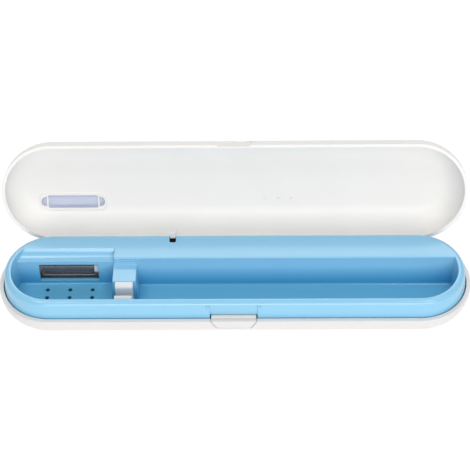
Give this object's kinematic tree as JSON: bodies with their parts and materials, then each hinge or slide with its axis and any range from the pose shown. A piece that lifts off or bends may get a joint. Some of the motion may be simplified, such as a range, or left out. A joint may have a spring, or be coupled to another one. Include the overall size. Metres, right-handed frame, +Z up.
{
  "type": "uv toothbrush sterilizer",
  "caption": "Long rounded travel case with a hinged lid standing open; a lamp behind a window in its blue tray treats the head of a brush held by a neck clip.",
  "frame": {"origin": "centre of the flat underside of the base shell", "axes": "+X along the case to the right with the lamp end at -X, +Y to the back where the lid is hinged, +Z up"},
  "size_m": [0.22, 0.0787, 0.0578],
  "materials": {
    "white_shell": "smooth white moulded plastic with a soft gloss",
    "blue_tray": "smooth sky blue moulded plastic with a soft gloss",
    "window": "clear plastic window, slightly frosted",
    "white_button": "smooth white moulded plastic",
    "white_clip": "smooth white moulded plastic",
    "lamp_glass": "clear lamp glass",
    "cap_white": "matt white plastic",
    "holder_grey": "matt grey plastic",
    "reflector": "thin bright aluminium sheet",
    "electrode": "copper-coloured lamp electrode",
    "board": "green circuit board",
    "black_plastic": "matt black plastic",
    "ferrite": "dark ferrite",
    "copper": "lacquered copper winding",
    "capacitor_sleeve": "dark blue shrink sleeve",
    "film_capacitor": "dipped red-brown film capacitor",
    "cell": "dark metal cell with a bright nub",
    "spring_steel": "plated spring steel",
    "steel": "plain steel",
    "contact": "nickel-plated contact sheet",
    "plunger_white": "white plastic pin",
    "seal_rubber": "black rubber seal",
    "wire_red": "red insulated wire",
    "wire_black": "black insulated wire",
    "wire_white": "white insulated wire"
  },
  "bodies": {
    "case": {"base_shell": "white_shell", "inner_tray": "blue_tray", "latch_spring": "spring_steel", "neck_clip": "white_clip", "uv_lamp_tube": "lamp_glass", "lamp_cap_left": "cap_white", "lamp_cap_right": "cap_white", "lamp_electrode_left": "electrode", "lamp_electrode_right": "electrode", "lamp_holder_left": "holder_grey", "lamp_holder_right": "holder_grey", "lamp_reflector": "reflector", "circuit_board": "board", "control_chip": "black_plastic", "transformer_core": "ferrite", "transformer_coil": "copper", "drive_capacitor": "capacitor_sleeve", "tuning_capacitor": "film_capacitor", "switch_body": "black_plastic", "switch_seal": "seal_rubber", "plunger_spring": "spring_steel", "battery_left": "cell", "battery_right": "cell", "battery_spring": "spring_steel", "battery_contact": "contact", "hinge_pins": "steel", "case_screws": "steel", "board_screws": "steel", "lamp_wire_left": "wire_white", "lamp_wire_right": "wire_white", "battery_wire_left": "wire_black", "battery_wire_right": "wire_red"},
    "lid": {"lid_shell": "white_shell", "lid_window": "window"},
    "latch": {"latch_button": "white_button"},
    "plunger": {"switch_plunger": "plunger_white"},
    "door": {"battery_door": "white_shell"}
  },
  "joints": [
    {"name": "lid_hinge", "type": "hinge", "parent": "case", "child": "lid", "pos_m": [0, 0.0249, 0.0124], "axis": [1, 0, 0], "range_deg": [0, 113]},
    {"name": "latch_slide", "type": "slide", "parent": "case", "child": "latch", "axis": [0, 1, 0], "range_m": [0, 0.0009], "stiffness_N_per_m": 200, "deforming": ["latch_spring"]},
    {"name": "plunger_slide", "type": "slide", "parent": "case", "child": "plunger", "axis": [0, 0, -1], "range_m": [0, 0.0033], "deforming": ["plunger_spring"]},
    {"name": "door_hinge", "type": "hinge", "parent": "case", "child": "door", "pos_m": [-0.0063, 0, 0.0009], "axis": [0, 1, 0], "range_deg": [0, 60]}
  ],
  "couplings": [
    {"joint": "plunger_slide", "follows": "lid_hinge", "m_per_rad": 0.0016479}
  ]
}
